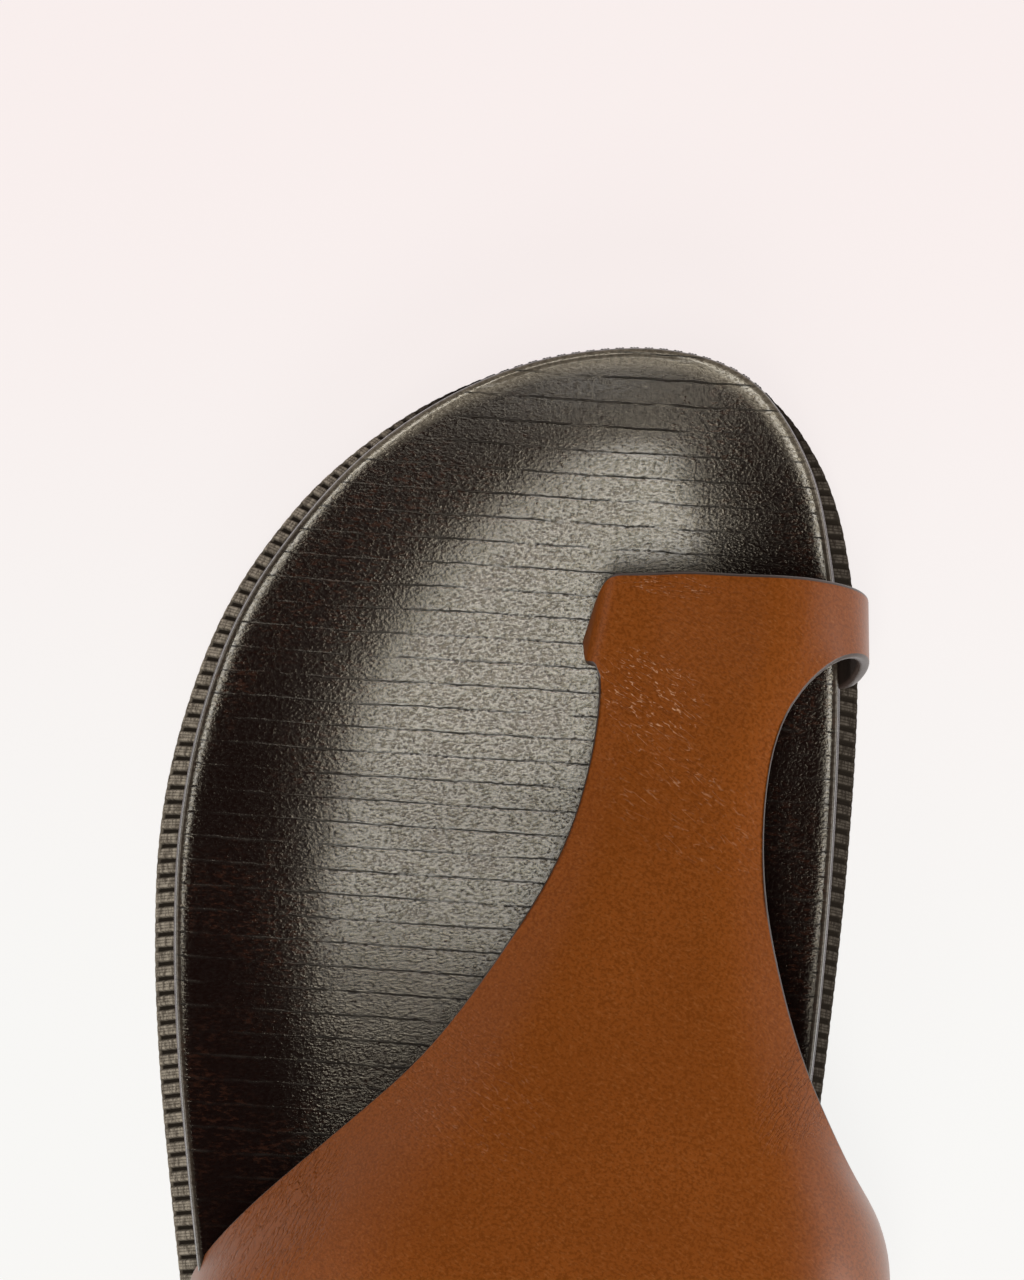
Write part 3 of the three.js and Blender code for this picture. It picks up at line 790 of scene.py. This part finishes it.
# Depths of the relief, in metres
PORE_DEPTH = 0.00003
FLECK_DEPTH = 0.00006
GRAIN_DEPTH = 0.00007
SWELL_DEPTH = 0.00003
LINE_DEPTH = 0.00012
NAP_DEPTH = 0.0001
RIPPLE_DEPTH = 0.00006
BEAD_DEPTH = 0.00005
GRIT_DEPTH = 0.0001

# Stretches over which a finish changes across or along the shoe, in metres: (from, to)
COAT_ACROSS = (0.035, 0.051)
BEAD_SHADE_ALONG = (0.117, 0.123)
RUBBER_SHADE_ALONG = (0.112, 0.122)
RUBBER_SHADE_ACROSS = (-0.005, 0.035)

# Patches of creases: along, across, length, width, turn, pitch, depth, glint; lengths in millimetres
CREASES = [
    (0.302, 0.150, 10, 7, -29, 0.75, 0.05, 1.0),
    (0.268, 0.185, 11, 4, -33, 1.1, 0.04, 0.5),
    (0.363, 0.165, 9, 2.0, -6, 0.6, 0.05, 0.7),
    (0.240, 0.215, 16, 9, -33, 1.2, 0.03, 0.25),
    (0.085, -0.10, 18, 12, -33, 1.0, 0.03, 0.22),
    (0.012, -0.365, 16, 10, 62, 0.75, 0.2, 0.1),
    (0.105, 0.43, 15, 7, 60, 0.8, 0.12, 0.1),
]


def upper_leather():
    finish = Finish("tan_leather", TAN, 0.4, Coat_Roughness=0.4, Specular_IOR_Level=0.08)
    here = finish.place()
    x, y, z = finish.parts(here)
    clouds = finish.noise(here, *TAN_CLOUDS)
    pores = finish.noise(here, *TAN_PORES)
    flecks = finish.drawn_noise(TAN_FLECKS, 2, 0.6, TAN_TURN)
    color = finish.tint(clouds.between(0.3, 0.7), TAN, TAN_CLOUD)
    color = finish.tint(pores.between(0.55, 0.4), color, TAN_PORE)
    # The flecks are painted lighter as small highlights on the grain
    color = finish.tint(flecks.between(0.5, 0.8), color, TAN_FLECK_HIGHLIGHT)
    height = pores * PORE_DEPTH + flecks * FLECK_DEPTH
    for along, across, length, width, turn, pitch, depth, glint in CREASES:
        centre = to_frame(across * BALL_WIDTH, along * LENGTH, 0)
        folds, glints = finish.wrinkles(centre, length * MM, width * MM, turn, pitch * MM)
        height = height - folds * (depth * MM)
        color = finish.tint(glints * glint, color, CREASE_GLINT)
    finish.color(color)
    finish.roughness(0.36 + pores * 0.1)
    finish.coat(x.size().between(*COAT_ACROSS))
    finish.bump(height)
    return finish.material


def lining_leather():
    finish = Finish("dark_lining", LINING_BROWN, 0.6)
    finish.bump(finish.noise(finish.place(), *LINING_NAP), NAP_DEPTH, 0.6)
    return finish.material


def edge_paint():
    finish = Finish("painted_edge", EDGE_BROWN, 0.34)
    finish.bump(finish.noise(finish.place(), *PAINT_RIPPLE), RIPPLE_DEPTH, 0.5)
    return finish.material


def pressed_lines(finish, here, slant):
    """The lines pressed across the footbed, and the painted highlights on their lips where it leans."""
    x, y, z = finish.parts(here)
    wander = finish.noise(here, *LINE_DRIFT) * 0.9 + finish.noise(here, *LINE_STIR) * 0.6
    lines = (y + wander * MM) / (LINE_PITCH * MM)
    off = (lines.fraction() - 0.5).size()
    gaps = finish.drawn_noise(LINE_GAPS, 3, 0.7)
    line = off.between(0.045, 0.008) * gaps.between(0.32, 0.6) * (1 - slant.between(0.06, 0.17) * 0.8)
    # Where the footbed leans, the lines' lips are painted lighter as a highlight
    lip_sheen = off.between(0.1, 0.0) * gaps.between(0.4, 0.75) * slant.between(0.08, 0.2)
    return line, lip_sheen


def footbed_leather():
    finish = Finish("burnished_leather", BED_BROWN, 0.26, Coat_Roughness=0.16,
                    Specular_IOR_Level=0.29, Specular_Tint=(1.0, 0.92, 0.76, 1.0))
    here = finish.place()
    slant = finish.attribute("slant")
    line, lip_sheen = pressed_lines(finish, here, slant)
    grain = finish.drawn_noise(BED_GRAIN, 2, 0.65, GRAIN_TURN)
    swell = finish.noise(here, *BED_SWELL)
    streaks = finish.drawn_noise(BED_STREAKS, 3, 0.6).between(0.48, 0.7)
    patches = finish.noise(here, *BED_PATCHES).between(0.38, 0.62)
    mottle = streaks * patches * (0.3 + slant.between(0.0, 0.12) * 0.7)
    # The band inside the rim is painted light, as a highlight on its roll
    rim_sheen = finish.attribute("rim_sheen") * (0.55 + grain.between(0.35, 0.65) * 0.45)
    color = finish.tint(mottle, BED_BROWN, BED_STREAK)
    color = finish.tint(rim_sheen, color, BED_RIM_SHEEN)
    color = finish.tint(lip_sheen, color, LINE_LIP_SHEEN)
    finish.color(finish.tint(line, color, LINE_DARK))
    finish.roughness(0.13 + grain.between(0.3, 0.7) * 0.08 + line * 0.3)
    finish.coat(grain.between(0.38, 0.6) * (1 - line) * 0.4)
    finish.bump(grain * GRAIN_DEPTH + swell * SWELL_DEPTH - line * LINE_DEPTH)
    return finish.material


def bead_trim():
    finish = Finish("grey_bead", BEAD_GREY, 0.45)
    here = finish.place()
    x, y, z = finish.parts(here)
    rubbed = finish.noise(here, *BEAD_RUB)
    grey = finish.tint(rubbed.between(0.35, 0.65), BEAD_GREY, BEAD_RUBBED)
    # The bead is painted dark round the toe, as shade under the rim
    finish.color(finish.tint(y.between(*BEAD_SHADE_ALONG), grey, BEAD_SHADE_AT_TOE))
    finish.bump(rubbed, BEAD_DEPTH, 0.5)
    return finish.material


def sole_rubber():
    finish = Finish("ribbed_rubber", RUBBER_LIT_SIDE, 0.55, Specular_IOR_Level=0.0)
    here = finish.place()
    x, y, z = finish.parts(here)
    groove = finish.attribute("groove")
    dust = finish.noise(here, *RUBBER_DUST)
    dusty = dust.between(0.35, 0.65)
    # The outer side is painted lit and the inner side painted in shade
    inwards = x.between(*RUBBER_SHADE_ACROSS)
    outer = finish.tint(dusty, RUBBER_LIT_SIDE, RUBBER_LIT_SIDE_DUST)
    inner = finish.tint(dusty, RUBBER_SHADED_SIDE, RUBBER_SHADED_SIDE_DUST)
    crest = finish.tint(inwards, outer, inner)
    # Painted shade round the toe
    crest = finish.tint(y.between(*RUBBER_SHADE_ALONG), crest, RUBBER_SHADE_AT_TOE)
    # Painted shade in the valleys of each rib
    crest = finish.tint(groove.between(0.05, 0.2) * (0.5 + inwards * 0.4), crest, RUBBER_VALLEY_SHADE)
    # Painted shade in the grooves
    finish.color(finish.tint(groove.between(0.4, 0.95), crest, RUBBER_GROOVE_SHADE))
    finish.roughness(0.45 + dust * 0.15)
    finish.bump(finish.noise(here, *RUBBER_GRIT), GRIT_DEPTH, 0.8)
    return finish.material


# The view of the photograph: from straight above, leaning back a little towards the heel
PHOTO_HEIGHT = 1280
PIXELS_PER_MM = 7.0
DISTANCE = 1000
ROLL = math.radians(3.7)
LEAN = math.radians(4.0)
AIM = Vector((-5.65, 86.3, 15.0))
SENSOR = 36.0
FARTHEST = 20


def make_camera():
    across = Vector((math.cos(ROLL), math.sin(ROLL), 0))
    back = Vector((math.sin(ROLL) * math.sin(LEAN), -math.cos(ROLL) * math.sin(LEAN), math.cos(LEAN)))
    upwards = back.cross(across)
    camera = bpy.data.objects.new("camera", bpy.data.cameras.new("camera"))
    camera.data.sensor_width = SENSOR
    camera.data.lens = SENSOR * DISTANCE / (PHOTO_HEIGHT / PIXELS_PER_MM)
    camera.data.clip_end = FARTHEST
    eye = to_frame(*(AIM + back * DISTANCE))
    turned = Matrix((across, upwards, back)).transposed().to_4x4()
    camera.matrix_world = Matrix.Translation(eye) @ turned
    bpy.context.collection.objects.link(camera)
    bpy.context.scene.camera = camera


# The floor and the low wall it sweeps up into: distance out and height, in metres
FLOOR = [(0, 0), (0.5, 0), (2.2, 0), (2.6, 0.04), (2.9, 0.16), (3.1, 0.4), (3.2, 0.8), (3.2, 1.2)]
FLOOR_SIDES = 64
FLOOR_SINK = 0.0005
# Its glow towards the heel and past the toe, where the two blend, and the share that takes shadows
FLOOR_HEEL = (0.965, 0.96, 0.945)
FLOOR_TOE = (0.97, 0.88, 0.87)
FLOOR_ALONG = (0.02, 0.17)
FLOOR_PLAIN = (0.9, 0.88, 0.87)
FLOOR_SHADED = 0.12


def make_floor():
    turns = [2 * math.pi * k / FLOOR_SIDES for k in range(FLOOR_SIDES + 1)]
    rows = [
        [Vector((out * math.cos(turn), out * math.sin(turn), up - FLOOR_SINK)) for turn in turns]
        for out, up in FLOOR
    ]
    piece = woven("floor", rows, closed=True)
    finish = Finish("pale_floor", FLOOR_PLAIN, 0.9)
    x, y, z = finish.parts(finish.place())
    glow = finish.tint(y.between(*FLOOR_ALONG), FLOOR_HEEL, FLOOR_TOE)
    light = finish.add("ShaderNodeEmission", {}, {"Color": glow, "Strength": 1.0}, "Emission")
    plain = finish.add("ShaderNodeBsdfDiffuse", {}, {"Color": FLOOR_PLAIN}, "BSDF")
    both = finish.add("ShaderNodeMixShader", {}, {0: FLOOR_SHADED, 1: light, 2: plain}, "Shader")
    finish.feed(finish.tree.nodes["Material Output"].inputs["Surface"], both)
    piece.data.materials.append(finish.material)


# Soft lights: name, place, target, size, power, colour; lengths in metres and power in watts
WHITE = (1, 1, 1)
LIGHTS = [
    ("overhead", (-0.045, -0.16, 1.3), (-0.045, -0.16, 0), (0.21, 0.56), 7.4, (1, 0.97, 0.9)),
    ("from_the_left", (-0.9, 0.1, 0.16), (0, 0.05, 0), (0.7, 0.2), 1.6, WHITE),
    ("from_the_right", (0.9, 0.1, 0.25), (0, 0.05, 0), (0.8, 0.3), 3.4, WHITE),
    ("from_the_heel", (0.05, -1.0, 1.05), (0, 0.1, 0), (0.8, 0.55), 8, WHITE),
]
WORLD_COLOR = (1, 0.98, 0.97, 1)
WORLD_STRENGTH = 0.045


def make_light(name, spot, target, size, power, color):
    lamp = bpy.data.lights.new(name, "AREA")
    lamp.shape = "RECTANGLE"
    lamp.size, lamp.size_y = size
    lamp.energy = power
    lamp.color = color
    piece = bpy.data.objects.new(name, lamp)
    piece.location = spot
    piece.rotation_euler = (Vector(target) - Vector(spot)).to_track_quat("-Z", "Y").to_euler()
    piece.visible_camera = False
    bpy.context.collection.objects.link(piece)


def make_world():
    world = bpy.data.worlds.new("studio")
    world.use_nodes = True
    background = world.node_tree.nodes["Background"]
    background.inputs["Color"].default_value = WORLD_COLOR
    background.inputs["Strength"].default_value = WORLD_STRENGTH
    bpy.context.scene.world = world
    bpy.context.scene.view_settings.view_transform = "Standard"


make_outsole()
make_footbed()
make_upper()
make_camera()
make_floor()
for light in LIGHTS:
    make_light(*light)
make_world()
